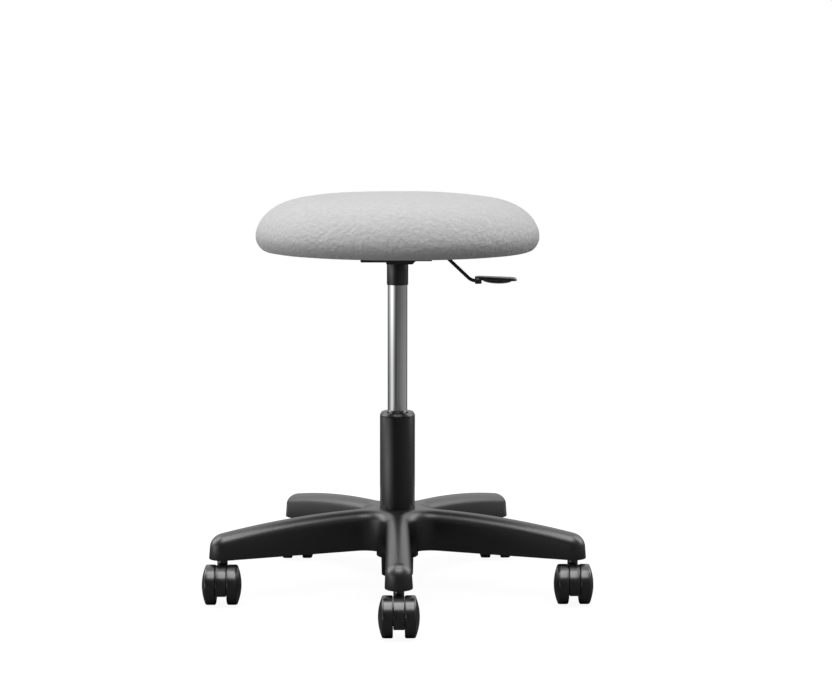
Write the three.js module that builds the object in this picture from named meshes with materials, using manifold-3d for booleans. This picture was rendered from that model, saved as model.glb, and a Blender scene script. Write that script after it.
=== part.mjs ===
import * as THREE from "three";
import { mergeVertices } from "three/addons/utils/BufferGeometryUtils.js";
import Module from "manifold-3d";

const wasm = await Module();
wasm.setup();

// Driving dimensions: lengths in millimetres, heights above the floor, angles in degrees.
const armCount = 5;
const casterCircleRadius = 257.8;
const armUnderside = 61.5;
const armHeight = 56.7;
const armTipRadius = 18.8;
const hubHeight = 55.5;
const columnRadius = 25;
const columnTop = 250.8;
const columnFoot = 21.2;
const gasTubeRadius = 14;
const seatStroke = 130;
const seatRadius = 200.5;
const seatRimHeight = 504.4;
const wheelRadius = 28;
const casterWidth = 55;
const casterTrail = 18;
const restGap = 0.3;
const turnGap = 0.35;
const cutOverrun = 5;

const armStep = 360 / armCount;
const frontArmAngle = -90;
const radians = THREE.MathUtils.degToRad;
const quarterTurn = Math.PI / 2;

// Shape helpers: turned and skinned solids, and the joins and cuts of closed solids.
const weldShare = 1e-7;

function turned(profile, sides) {
  const points = profile.map(([radius, height]) => new THREE.Vector2(radius, height));
  return new THREE.LatheGeometry(points, sides).rotateX(quarterTurn);
}

function turnedRing(profile, sides) {
  return turned([...profile, profile[0]], sides);
}

function disc(radius, bottom, top, sides) {
  return turned([[0, bottom], [radius, bottom], [radius, top], [0, top]], sides);
}

function washer(bore, radius, bottom, top, sides) {
  return turnedRing([[bore, bottom], [radius, bottom], [radius, top], [bore, top]], sides);
}

function extruded(shape, depth, curveSegments) {
  return new THREE.ExtrudeGeometry(shape, { depth, curveSegments, bevelEnabled: false });
}

function outlineOf(points) {
  return new THREE.Shape(points.map(([across, up]) => new THREE.Vector2(across, up)));
}

// Stands a flat outline upright: its first axis runs along +Y, its second along +Z, its depth along +X.
const standAcross = new THREE.Matrix4().makeBasis(
  new THREE.Vector3(0, 1, 0),
  new THREE.Vector3(0, 0, 1),
  new THREE.Vector3(1, 0, 0),
);

// A solid through a row of rings that have the same number of points, closed at both ends.
function skinned(rings) {
  const count = rings[0].length;
  const index = [];
  for (let ring = 0; ring + 1 < rings.length; ring++) {
    for (let point = 0; point < count; point++) {
      const here = ring * count + point;
      const beside = ring * count + ((point + 1) % count);
      index.push(here, beside, beside + count, here, beside + count, here + count);
    }
  }
  const last = (rings.length - 1) * count;
  for (let point = 1; point + 1 < count; point++) {
    index.push(0, point + 1, point, last, last + point, last + point + 1);
  }
  const geometry = new THREE.BufferGeometry();
  geometry.setAttribute("position", new THREE.Float32BufferAttribute(rings.flat(2), 3));
  geometry.setIndex(index);
  return geometry;
}

function solidOf(geometry) {
  const bare = geometry.clone();
  bare.deleteAttribute("normal");
  bare.deleteAttribute("uv");
  bare.computeBoundingSphere();
  const merged = mergeVertices(bare, bare.boundingSphere.radius * weldShare);
  const corners = merged.index.array;
  const triVerts = [];
  for (let corner = 0; corner < corners.length; corner += 3) {
    const [a, b, c] = corners.slice(corner, corner + 3);
    if (a !== b && b !== c && c !== a) triVerts.push(a, b, c);
  }
  const vertProperties = merged.attributes.position.array;
  return new wasm.Manifold(
    new wasm.Mesh({ numProp: 3, vertProperties, triVerts: new Uint32Array(triVerts) }),
  );
}

function geometryOf(solid) {
  const mesh = solid.getMesh();
  const geometry = new THREE.BufferGeometry();
  geometry.setAttribute("position", new THREE.Float32BufferAttribute(mesh.vertProperties, 3));
  geometry.setIndex(new THREE.Uint32BufferAttribute(mesh.triVerts, 1));
  geometry.computeVertexNormals();
  return geometry;
}

function joined(...pieces) {
  return geometryOf(pieces.map(solidOf).reduce((sum, piece) => sum.add(piece)));
}

function cutFrom(body, ...tools) {
  return geometryOf(tools.map(solidOf).reduce((rest, tool) => rest.subtract(tool), solidOf(body)));
}

function shared(first, second) {
  return geometryOf(solidOf(first).intersect(solidOf(second)));
}

function around(count, make) {
  return Array.from({ length: count }, (_, turn) => make(radians(turn * (360 / count)), turn));
}

// Materials, by what each piece is made of.
function finish(color, roughness, metalness) {
  return new THREE.MeshStandardMaterial({ color, roughness, metalness });
}

const blackNylon = finish(0x1c1c1d, 0.45, 0);
const blackPlastic = finish(0x151516, 0.5, 0);
const blackSteel = finish(0x1a1a1b, 0.4, 0.3);
const chrome = finish(0xd8d9db, 0.12, 1);
const plainSteel = finish(0x9a9b9d, 0.35, 0.9);
const sealRubber = finish(0x101011, 0.8, 0);
const greyCloth = finish(0xc4c4c4, 0.95, 0);
const blackCloth = finish(0x222222, 0.95, 0);
const paleFoam = finish(0xe6dfc4, 0.95, 0);
const plywood = finish(0xc39a66, 0.7, 0);

const stool = new THREE.Group();

function place(name, geometry, material, parent = stool) {
  const mesh = new THREE.Mesh(geometry, material);
  mesh.name = name;
  parent.add(mesh);
  return mesh;
}

// Column foot: the taper that wedges into the hub, and the sizes that the hub shares with it.
const taperHalfAngle = 1.44;
const columnWall = 1.8;
const columnSides = 24;
const hubTop = armUnderside + hubHeight;
const taperLength = hubTop - columnFoot;
const columnFootRadius = columnRadius - taperLength * Math.tan(radians(taperHalfAngle));

function columnRadiusAt(height) {
  return columnRadius - Math.max(0, hubTop - height) * Math.tan(radians(taperHalfAngle));
}

// Caster socket in each arm tip, and the stem that turns in it.
const stemRadius = 5.5;
const stemRise = 29;
const stemSides = 12;
const socketDepth = stemRise + restGap;

// Star base: five hollow arms on a hub, moulded in one piece.
const armHubHalfWidth = 17;
const armShoulderRadius = 16;
const armWall = 3;
const ridgeStart = 30;
const ridgeRadius = 1200;
const armRootStart = 20;
const ridgeShares = [0, 0.2, 0.4, 0.6, 0.8, 1];
const shoulderAngles = [0, 30, 60, 90];
const tipAngles = [30, 60, 90];
const hubFilletRadius = 14;
const hubShoulderRadius = 9;
const hubShoulderSteps = 3;
const hubFilletSegments = 3;
const hubBossRadius = 30;
const hubBossDepth = 9;
const hubBossBevel = 2.5;
const pocketStart = 52;
const pocketCount = 4;
const socketBossRadius = 11;
const pocketShoulderDrop = 5;
const pocketShoulderInset = 9;

function ridgeAt(along) {
  const past = Math.max(0, along - ridgeStart);
  return armUnderside + armHeight - (past * past) / (2 * ridgeRadius);
}

function halfWidthAt(along) {
  const share = Math.min(1, (along - armRootStart) / (casterCircleRadius - armRootStart));
  return armHubHalfWidth + (armTipRadius - armHubHalfWidth) * share;
}

function shoulderDrop(offset, halfWidth) {
  const past = Math.max(0, offset - (halfWidth - armShoulderRadius));
  return armShoulderRadius - Math.sqrt(Math.max(0, armShoulderRadius ** 2 - past ** 2));
}

// One section of an arm: up the near wall, over both shoulders and down the far wall.
function armSection(along, halfWidth, narrowing, beyond) {
  const flat = halfWidth - armShoulderRadius;
  const half = shoulderAngles.map((angle) => flat + armShoulderRadius * Math.cos(radians(angle)));
  const offsets = [halfWidth, ...half];
  const side = offsets.map((offset, step) => {
    const across = offset * narrowing;
    const reach = Math.min(halfWidth, Math.hypot(across, beyond));
    const height = step === 0 ? armUnderside : ridgeAt(along) - shoulderDrop(reach, halfWidth);
    return [along, across, height];
  });
  const mirrored = side.map(([x, y, z]) => [x, -y, z]).reverse();
  return [...side, ...mirrored];
}

function armSolid() {
  const rings = ridgeShares.map((share) => {
    const along = armRootStart + (casterCircleRadius - armRootStart) * share;
    return armSection(along, halfWidthAt(along), 1, 0);
  });
  for (const angle of tipAngles) {
    const beyond = armTipRadius * Math.sin(radians(angle));
    const narrowing = angle === 90 ? 0 : Math.cos(radians(angle));
    rings.push(armSection(casterCircleRadius + beyond, armTipRadius, narrowing, beyond));
  }
  return skinned(rings);
}

function pocketSection(along) {
  const wide = halfWidthAt(along) - armWall;
  const narrow = halfWidthAt(along) - pocketShoulderInset;
  const shoulder = ridgeAt(along) - armShoulderRadius;
  const roof = ridgeAt(along) - pocketShoulderDrop;
  const floor = armUnderside - cutOverrun;
  const side = [[along, wide, floor], [along, wide, shoulder], [along, narrow, roof]];
  return [...side, ...side.map(([x, y, z]) => [x, -y, z]).reverse()];
}

function pocketSolids() {
  const end = casterCircleRadius - socketBossRadius;
  const pitch = (end - pocketStart + armWall) / pocketCount;
  return Array.from({ length: pocketCount }, (_, pocket) => {
    const start = pocketStart + pocket * pitch;
    return skinned([pocketSection(start), pocketSection(start + pitch - armWall)]);
  });
}

// Outline of the hub from above: a concave fillet between each two arms.
function hubOutline() {
  const spread = radians(armStep / 2);
  const reach = (armHubHalfWidth + hubFilletRadius) / Math.sin(spread);
  const outline = new THREE.Shape();
  around(armCount, (turn) => {
    const x = reach * Math.cos(turn + spread);
    const y = reach * Math.sin(turn + spread);
    const start = turn - quarterTurn;
    const end = turn + 2 * spread + quarterTurn - 2 * Math.PI;
    outline.absarc(x, y, hubFilletRadius, start, end, true);
  });
  outline.closePath();
  return outline;
}

function hubSolid() {
  const body = new THREE.ExtrudeGeometry(hubOutline(), {
    depth: hubHeight,
    curveSegments: hubFilletSegments,
    bevelThickness: hubShoulderRadius,
    bevelSize: hubShoulderRadius,
    bevelOffset: -hubShoulderRadius,
    bevelSegments: hubShoulderSteps,
  }).translate(0, 0, armUnderside - hubShoulderRadius);
  const trim = disc(casterCircleRadius, columnFoot - hubHeight, armUnderside, armCount);
  return cutFrom(body, trim);
}

function starBase() {
  const frontTurn = radians(frontArmAngle);
  const bossFoot = armUnderside - hubBossDepth;
  const boss = turned([
    [0, bossFoot],
    [hubBossRadius - hubBossBevel, bossFoot],
    [hubBossRadius, bossFoot + hubBossBevel],
    [hubBossRadius, hubTop - hubShoulderRadius],
    [0, hubTop - hubShoulderRadius],
  ], columnSides);
  const bore = turned([
    [0, bossFoot - cutOverrun],
    [columnRadiusAt(bossFoot - cutOverrun) + restGap, bossFoot - cutOverrun],
    [columnRadiusAt(hubTop) + restGap, hubTop],
    [columnRadiusAt(hubTop) + restGap, hubTop + armHeight],
    [0, hubTop + armHeight],
  ], columnSides);
  const socket = disc(
    stemRadius + turnGap, armUnderside - cutOverrun, armUnderside + socketDepth, stemSides,
  ).translate(casterCircleRadius, 0, 0);
  const arms = around(armCount, (turn) => armSolid().rotateZ(turn));
  const hollows = around(armCount, (turn) =>
    [...pocketSolids(), socket].map((tool) => tool.clone().rotateZ(turn)));
  return cutFrom(joined(hubSolid(), boss, ...arms), bore, ...hollows.flat()).rotateZ(frontTurn);
}

place("star_base", starBase(), blackNylon);

// Column outer tube: steel, straight above the hub and tapered inside it.
const columnFootBevel = 0.6;

place("column_outer_tube", turnedRing([
  [columnFootRadius - columnFootBevel, columnFoot],
  [columnFootRadius, columnFoot + columnFootBevel],
  [columnRadius, hubTop],
  [columnRadius, columnTop],
  [columnRadius - columnWall, columnTop],
  [columnRadius - columnWall, hubTop],
  [columnFootRadius - columnWall, columnFoot],
], columnSides), blackSteel);

// Guide bush: a plastic sleeve in the outer tube, with a bevelled cap over the tube's rim.
const bushLength = 70;
const bushCapRise = 5.6;
const bushCapEdge = 0.8;
const bushCapBevel = 2.4;
const bushCapDish = 0.8;
const bushMouthRadius = 15.5;
const bushMouthDepth = 6;
const capFoot = columnTop + restGap;
const capTop = columnTop + bushCapRise;
const bushSleeveRadius = columnRadius - columnWall - restGap;
const bushBore = gasTubeRadius + turnGap;

place("guide_bush", turnedRing([
  [bushBore, columnTop - bushLength],
  [bushSleeveRadius, columnTop - bushLength],
  [bushSleeveRadius, capFoot],
  [columnRadius, capFoot],
  [columnRadius, capFoot + bushCapEdge],
  [columnRadius - bushCapBevel, capTop],
  [bushMouthRadius, capTop - bushCapDish],
  [bushMouthRadius, capTop - bushMouthDepth],
  [bushBore, capTop - bushMouthDepth - (bushMouthRadius - bushBore)],
], columnSides), blackPlastic);

// Column foot: a plate across the tube's end carries the thrust bearing and the clipped rod.
const rodRadius = 5;
const rodTipRadius = 4;
const footPlateRecess = 4.8;
const footPlateThickness = 3;
const footSides = 16;
const raceBore = rodTipRadius + turnGap;
const raceRadius = 14;
const raceThickness = 1.6;
const ballRadius = 1.75;
const ballCircleRadius = 10;
const ballCount = 8;
const cageThickness = 1.2;
const cageHalfWidth = 3;
const footPlateBottom = columnFoot + footPlateRecess;
const footPlateTop = footPlateBottom + footPlateThickness;
const lowerRaceTop = footPlateTop + restGap + raceThickness;
const ballCentre = lowerRaceTop + restGap + ballRadius;
const upperRaceBottom = ballCentre + ballRadius + restGap;
const upperRaceTop = upperRaceBottom + raceThickness;
const footPlateRadius = columnRadiusAt(footPlateBottom) - columnWall - restGap;

place("foot_plate",
  washer(raceBore, footPlateRadius, footPlateBottom, footPlateTop, footSides), plainSteel);
place("lower_race",
  washer(raceBore, raceRadius, footPlateTop + restGap, lowerRaceTop, footSides), plainSteel);
place("upper_race",
  washer(raceBore, raceRadius, upperRaceBottom, upperRaceTop, footSides), plainSteel);

const cageRing = washer(
  ballCircleRadius - cageHalfWidth,
  ballCircleRadius + cageHalfWidth,
  ballCentre - cageThickness / 2,
  ballCentre + cageThickness / 2,
  footSides,
);
const balls = around(ballCount, (turn) =>
  new THREE.IcosahedronGeometry(ballRadius, 0)
    .translate(ballCircleRadius, 0, ballCentre)
    .rotateZ(turn));
place("ball_cage", joined(cageRing, ...balls), plainSteel);

// Washer and horseshoe clip that hold the rod's tip under the foot plate.
const tipWasherRadius = 9;
const tipWasherThickness = 1;
const clipThickness = 1.2;
const clipRadius = 7.5;
const clipGrooveDepth = 0.8;
const clipMouthAngle = 35;
const clipSegments = 6;
const clipMargin = 1.2;
const tipWasherBottom = footPlateBottom - restGap - tipWasherThickness;
const clipTop = tipWasherBottom - restGap;
const clipBottom = clipTop - clipThickness;
const grooveRadius = rodTipRadius - clipGrooveDepth;
const rodBottom = clipBottom - clipMargin;

place("tip_washer",
  washer(raceBore, tipWasherRadius, tipWasherBottom, footPlateBottom - restGap, footSides), plainSteel);

const clipOutline = new THREE.Shape();
clipOutline.absarc(0, 0, clipRadius, radians(clipMouthAngle), radians(360 - clipMouthAngle));
clipOutline.absarc(0, 0, grooveRadius + restGap,
  radians(360 - clipMouthAngle), radians(clipMouthAngle), true);
clipOutline.closePath();
place("retaining_clip",
  extruded(clipOutline, clipThickness, clipSegments).translate(0, 0, clipBottom), plainSteel);

// Rubber bumper on the upper race, where the seat stops at its lowest.
const bumperHeight = 8;
const bumperWall = 5;
const bumperBottom = upperRaceTop + restGap;
const bumperTop = bumperBottom + bumperHeight;
const bumperBore = rodRadius + restGap;
place("rubber_bumper",
  washer(bumperBore, bumperBore + bumperWall, bumperBottom, bumperTop, footSides), sealRubber);

// Seat stack: how the board, the cloth under it and the plate lie above the rim's underside.
const coverThickness = 1.5;
const clothThickness = 0.8;
const seatRimDrop = 17.1;
const boardLift = 3;
const boardBottom = seatRimHeight - seatRimDrop + boardLift;
const plateTop = boardBottom - restGap - clothThickness - restGap;

// Gas spring: the chrome tube slides over the piston rod and carries the seat on its tapered top.
const gasTubeWall = 1.5;
const gasTubeConeLength = 34;
const gasTubeConeInset = 0.8;
const gasTubeLipRadius = 8;
const gasTubeLipThickness = 3;
const gasTubeFootLip = 1.5;
const leverDrop = 8.4;
const leverHeight = plateTop - leverDrop;
const leverRodRadius = 2.5;
const fulcrumX = 47;
const leverLift = 5;
const pinRadius = 2.5;
const pinLength = 18;
const pinMargin = 1.1;
const pinTravel = (fulcrumX + pinRadius) * Math.sin(radians(leverLift));
const pinTop = leverHeight - leverRodRadius - restGap;
const gasTubeTop = pinTop - pinTravel - pinMargin;
const gasTubeBottom = bumperTop + restGap + seatStroke;
const gasTubeBore = gasTubeRadius - gasTubeWall;
const coneTopRadius = gasTubeRadius - gasTubeConeInset;

place("pressure_tube", turnedRing([
  [gasTubeBore - gasTubeFootLip, gasTubeBottom],
  [gasTubeRadius, gasTubeBottom],
  [gasTubeRadius, gasTubeTop - gasTubeConeLength],
  [coneTopRadius, gasTubeTop],
  [gasTubeLipRadius, gasTubeTop],
  [gasTubeLipRadius, gasTubeTop - gasTubeLipThickness],
  [coneTopRadius - gasTubeWall, gasTubeTop - gasTubeLipThickness],
  [gasTubeBore, gasTubeTop - gasTubeConeLength],
  [gasTubeBore, gasTubeBottom + gasTubeFootLip],
  [gasTubeBore - gasTubeFootLip, gasTubeBottom + gasTubeFootLip],
], columnSides), chrome);

const sealHeight = 14;
const sealBottom = gasTubeBottom + gasTubeFootLip + restGap;
const sealTop = sealBottom + sealHeight;
const sealRadius = gasTubeBore - restGap;
place("rod_seal",
  washer(rodRadius + turnGap, sealRadius, sealBottom, sealTop, footSides), sealRubber);

const pistonRise = 4;
const pistonHeight = 16;
const pistonGrooveDepth = 1.5;
const pistonGrooveShares = [0.4, 0.6];
const pistonBottom = sealTop + pistonRise;
const pistonTop = pistonBottom + pistonHeight;
const pistonRadius = gasTubeBore - turnGap;
const [grooveLow, grooveHigh] = pistonGrooveShares.map((share) => pistonBottom + pistonHeight * share);
place("piston", turnedRing([
  [rodTipRadius + restGap, pistonBottom],
  [pistonRadius, pistonBottom],
  [pistonRadius, grooveLow],
  [pistonRadius - pistonGrooveDepth, grooveLow],
  [pistonRadius - pistonGrooveDepth, grooveHigh],
  [pistonRadius, grooveHigh],
  [pistonRadius, pistonTop],
  [rodTipRadius + restGap, pistonTop],
], footSides), blackPlastic);

const rodSides = 16;
place("piston_rod", turned([
  [0, rodBottom],
  [rodTipRadius, rodBottom],
  [rodTipRadius, clipBottom - restGap / 2],
  [grooveRadius, clipBottom - restGap / 2],
  [grooveRadius, clipTop + restGap / 2],
  [rodTipRadius, clipTop + restGap / 2],
  [rodTipRadius, upperRaceTop + restGap],
  [rodRadius, upperRaceTop + restGap],
  [rodRadius, pistonBottom - restGap],
  [rodTipRadius, pistonBottom - restGap],
  [rodTipRadius, pistonTop],
  [0, pistonTop],
], rodSides), plainSteel);

const valveLength = 30;
const valveNeckRadius = gasTubeLipRadius - restGap;
const valveShoulder = gasTubeTop - gasTubeLipThickness - restGap;
const valveRadius = coneTopRadius - gasTubeWall - restGap;
const pinBottom = pinTop - pinLength;
const pinBoreBottom = pinBottom - pinTravel - pinMargin;
place("valve_body", turned([
  [0, valveShoulder - valveLength],
  [valveRadius, valveShoulder - valveLength],
  [valveRadius, valveShoulder],
  [valveNeckRadius, valveShoulder],
  [valveNeckRadius, gasTubeTop],
  [pinRadius + restGap, gasTubeTop],
  [pinRadius + restGap, pinBoreBottom],
  [0, pinBoreBottom],
], footSides), blackPlastic);
place("release_pin", disc(pinRadius, pinBottom, pinTop, rodSides), plainSteel);

// Seat plate: a pressed steel pan with a flange, screwed under the seat board.
const sheetThickness = 2;
const flangeHalfWidth = 75;
const flangeCornerRadius = 12;
const flangeSegments = 2;
const screwInset = 11;
const screwRadius = 3;
const panDepth = 15.2;
const panHalfDepth = 50;
const panNarrowHalfDepth = 28.5;
const panNarrowFrom = 12;
const panLeft = 54.5;
const panWallX = fulcrumX + sheetThickness / 2;
const panWallLean = 3;
const bossDrop = 5;
const bossLeft = 19;
const bossRight = 20.8;
const bossSlant = 7.2;
const bossHalfDepth = 22.5;
const collarRadius = 15.2;
const collarRise = 2;
const collarLength = 33.5;
const collarTop = gasTubeTop + collarRise;
const collarFoot = gasTubeTop - collarLength;
const panFloor = plateTop - panDepth;
const bossFloor = panFloor - bossDrop;
const flangeBottom = plateTop - sheetThickness;
const screwSides = 12;

const screwOffset = flangeHalfWidth - screwInset;
const screwCorners = [[-1, -1], [1, -1], [1, 1], [-1, 1]];
const screwPlaces = screwCorners.map(([x, y]) => [x * screwOffset, y * screwOffset]);

function roundedSquare(halfWidth, cornerRadius) {
  const outline = new THREE.Shape();
  const inner = halfWidth - cornerRadius;
  [[1, -1], [1, 1], [-1, 1], [-1, -1]].forEach(([x, y], corner) => {
    const start = -quarterTurn + corner * quarterTurn;
    outline.absarc(x * inner, y * inner, cornerRadius, start, start + quarterTurn);
  });
  outline.closePath();
  return outline;
}

// A pressed step of the pan: its side outline, drawn in by an inset, through the pan's depth.
function pressing(left, right, lean, floor, slant, halfDepth, inset, top) {
  const outline = outlineOf([
    [-left + lean + inset, floor + inset],
    [right - slant - inset, floor + inset],
    [right - inset, Math.min(floor + inset + slant, top)],
    [right - inset, top],
    [-left + inset, top],
  ]);
  const depth = 2 * (halfDepth - inset);
  return extruded(outline, depth, 1).rotateX(quarterTurn).translate(0, depth / 2, 0);
}

function seatPlate() {
  const flangeOutline = roundedSquare(flangeHalfWidth, flangeCornerRadius);
  const flange = extruded(flangeOutline, sheetThickness, flangeSegments).translate(0, 0, flangeBottom);
  const bossReach = bossRight + bossSlant;
  const insideTop = plateTop + cutOverrun;
  const steps = [
    [panLeft, panNarrowFrom, panWallLean, panFloor, restGap, panHalfDepth],
    [0, panWallX, panWallLean, panFloor, restGap, panNarrowHalfDepth],
    [bossLeft, bossReach, panWallLean, bossFloor, bossSlant, bossHalfDepth],
  ];
  const outsides = steps.map((step) => pressing(...step, 0, plateTop));
  const insides = steps.map((step) => pressing(...step, sheetThickness, insideTop));
  const collarHole = disc(collarRadius + restGap, bossFloor - cutOverrun, leverHeight, columnSides);
  const leverHole = disc(leverBushRadius + restGap, -cutOverrun, cutOverrun, screwSides)
    .rotateY(quarterTurn)
    .translate(fulcrumX, 0, leverHeight);
  const screwHoles = screwPlaces.map(([x, y]) =>
    disc(screwRadius + restGap, flangeBottom - cutOverrun, insideTop, screwSides).translate(x, y, 0));
  return cutFrom(joined(flange, ...outsides), ...insides, collarHole, leverHole, ...screwHoles);
}

// Lever bush: a flanged plastic bush in the pan's wall, which the lever rocks in.
const leverBushRadius = 4;
const leverBushFlangeRadius = 5.5;
const leverBushFlange = 1;
const leverBushTail = 0.8;
place("seat_plate", seatPlate(), blackSteel);
place("lever_bush", turnedRing([
  [leverRodRadius + turnGap, -sheetThickness / 2 - leverBushTail],
  [leverBushRadius, -sheetThickness / 2 - leverBushTail],
  [leverBushRadius, sheetThickness / 2 + restGap],
  [leverBushFlangeRadius, sheetThickness / 2 + restGap],
  [leverBushFlangeRadius, sheetThickness / 2 + restGap + leverBushFlange],
  [leverRodRadius + turnGap, sheetThickness / 2 + restGap + leverBushFlange],
], screwSides).rotateY(quarterTurn).translate(fulcrumX, 0, leverHeight), blackPlastic);

// Plate socket: the collar that grips the gas spring's tapered top, welded into the pan.
place("plate_socket", turnedRing([
  [gasTubeRadius + restGap, collarFoot],
  [collarRadius, collarFoot],
  [collarRadius, collarTop],
  [coneTopRadius + restGap, collarTop],
  [coneTopRadius + restGap, gasTubeTop],
  [gasTubeRadius + restGap, gasTubeTop - gasTubeConeLength],
], columnSides), blackSteel);

// Lever rod: one bent wire, from over the release pin out through the bush and down to the paddle.
const leverInnerReach = 6;
const leverRun = 19;
const leverCrankReach = 39;
const leverCrankDrop = 36.6;
const leverBendTrim = 4.5;
const paddleRunIn = 4.8;
const paddleBossLength = 9.3;
const leverSides = 5;
const leverSteps = 22;
const upperBendX = fulcrumX + leverRun;
const lowerBendX = upperBendX + leverCrankReach;
const lowerBendHeight = leverHeight - leverCrankDrop;
const paddleLeft = lowerBendX + paddleRunIn;
const leverEnd = paddleLeft + paddleBossLength - 2 * restGap;

function bentWire(corners, trim) {
  const path = new THREE.CurvePath();
  const points = corners.map(([x, z]) => new THREE.Vector3(x, 0, z));
  let from = points[0];
  for (let corner = 1; corner + 1 < points.length; corner++) {
    const here = points[corner];
    const into = here.clone().add(points[corner - 1].clone().sub(here).setLength(trim));
    const out = here.clone().add(points[corner + 1].clone().sub(here).setLength(trim));
    path.add(new THREE.LineCurve3(from, into));
    path.add(new THREE.QuadraticBezierCurve3(into, here, out));
    from = out;
  }
  path.add(new THREE.LineCurve3(from, points.at(-1)));
  return path;
}

function circle(radius) {
  const outline = new THREE.Shape();
  outline.absarc(0, 0, radius, 0, 2 * Math.PI);
  return outline;
}

place("lever_rod", new THREE.ExtrudeGeometry(circle(leverRodRadius), {
  steps: leverSteps,
  curveSegments: leverSides,
  extrudePath: bentWire([
    [-leverInnerReach, leverHeight],
    [upperBendX, leverHeight],
    [lowerBendX, lowerBendHeight],
    [leverEnd, lowerBendHeight],
  ], leverBendTrim),
}), blackSteel);

// Lever paddle: a moulded finger plate with a belly below it and a boss over the rod's end.
const paddleLength = 58.8;
const paddleHalfWidth = 15;
const paddleThickness = 4.4;
const paddleCornerRadius = 8;
const paddleRise = 6.6;
const paddleTilt = 2;
const paddleBelly = 4.4;
const paddleBossRadius = 4.7;
const bellyHalfWidth = 9;
const bellyShares = [0.17, 0.34, 0.52, 0.7, 0.88];
const bellyDepthShares = [0, 0.8, 1, 0.8, 0];
const paddleSegments = 4;

function paddleOutline() {
  const outline = new THREE.Shape();
  const far = paddleLeft + paddleLength - paddleCornerRadius;
  const near = paddleLeft + paddleCornerRadius;
  const side = paddleHalfWidth - paddleCornerRadius;
  [[far, -side], [far, side], [near, side], [near, -side]].forEach(([x, y], corner) => {
    const start = -quarterTurn + corner * quarterTurn;
    outline.absarc(x, y, paddleCornerRadius, start, start + quarterTurn);
  });
  outline.closePath();
  return outline;
}

function leverPaddle() {
  const top = lowerBendHeight + paddleRise;
  const fall = Math.tan(radians(paddleTilt));
  const topAt = (along) => top - along * fall;
  const belly = bellyShares.map((share, step) => {
    const along = paddleLength * share;
    return [paddleLeft + along, topAt(along) - paddleThickness - paddleBelly * bellyDepthShares[step]];
  });
  const plateSide = extruded(outlineOf([
    [paddleLeft, topAt(0) - paddleThickness],
    [paddleLeft + paddleLength, topAt(paddleLength) - paddleThickness],
    [paddleLeft + paddleLength, topAt(paddleLength)],
    [paddleLeft, topAt(0)],
  ]), 2 * paddleHalfWidth, 1).rotateX(quarterTurn).translate(0, paddleHalfWidth, 0);
  const planDepth = 2 * paddleRise;
  const plan = extruded(paddleOutline(), planDepth, paddleSegments).translate(0, 0, top - planDepth);
  const bellyRoof = [...belly].reverse().map(([x, z], step, all) =>
    [x, z + paddleThickness / 2 + paddleBelly * bellyDepthShares[all.length - 1 - step]]);
  const bellySolid = extruded(outlineOf([...belly, ...bellyRoof]), 2 * bellyHalfWidth, 1)
    .rotateX(quarterTurn)
    .translate(0, bellyHalfWidth, 0);
  const alongRod = (radius, from, to) =>
    disc(radius, from, to, screwSides).rotateY(quarterTurn).translate(paddleLeft, 0, lowerBendHeight);
  const boss = alongRod(paddleBossRadius, 0, paddleBossLength);
  const bore = alongRod(leverRodRadius + restGap, -cutOverrun, paddleBossLength - restGap);
  return cutFrom(joined(shared(plateSide, plan), bellySolid, boss), bore);
}

place("lever_paddle", leverPaddle(), blackPlastic);

// Seat board: a plywood disc that the tee nuts sit in.
const boardInset = 20.5;
const boardThickness = 12;
const boardSides = 40;
const teeFlangeRadius = 9;
const teeFlangeThickness = 1.2;
const teeBarrelWall = 1.4;
const teeBarrelLength = 9;
const boardRadius = seatRadius - boardInset;
const boardTop = boardBottom + boardThickness;
const teeRecess = teeFlangeThickness + restGap;
const teeBarrelRadius = screwRadius + restGap + teeBarrelWall;

const teeHoles = screwPlaces.flatMap(([x, y]) => [
  disc(teeBarrelRadius + restGap, boardBottom - cutOverrun, boardTop + cutOverrun, screwSides),
  disc(teeFlangeRadius + restGap, boardTop - teeRecess, boardTop + cutOverrun, screwSides),
].map((hole) => hole.translate(x, y, 0)));
place("seat_board", cutFrom(disc(boardRadius, boardBottom, boardTop, boardSides), ...teeHoles), plywood);

const teeBottom = boardTop - teeFlangeThickness - teeBarrelLength;
const teeNut = turnedRing([
  [screwRadius + restGap, teeBottom],
  [teeBarrelRadius, teeBottom],
  [teeBarrelRadius, boardTop - teeFlangeThickness],
  [teeFlangeRadius, boardTop - teeFlangeThickness],
  [teeFlangeRadius, boardTop],
  [screwRadius + restGap, boardTop],
], screwSides);

// Plate screws: pan heads with a hex socket, up through the flange and the cloth into the tee nuts.
const screwHeadRadius = 5.5;
const screwHeadHeight = 3.2;
const screwDriveRadius = 2;
const screwDriveDepth = 2;
const screwHeadTop = flangeBottom - restGap;
const screwHeadBottom = screwHeadTop - screwHeadHeight;
const screwTip = boardTop - restGap;
const plateScrew = turned([
  [0, screwHeadBottom + screwDriveDepth],
  [screwDriveRadius, screwHeadBottom + screwDriveDepth],
  [screwDriveRadius, screwHeadBottom],
  [screwHeadRadius - screwDriveRadius, screwHeadBottom],
  [screwHeadRadius, screwHeadBottom + screwHeadHeight / 2],
  [screwHeadRadius, screwHeadTop],
  [screwRadius, screwHeadTop],
  [screwRadius, screwTip],
  [0, screwTip],
], screwSides);

screwPlaces.forEach(([x, y], corner) => {
  place(`tee_nut_${corner + 1}`, teeNut, plainSteel).position.set(x, y, 0);
  place(`plate_screw_${corner + 1}`, plateScrew, plainSteel).position.set(x, y, 0);
});

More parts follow.
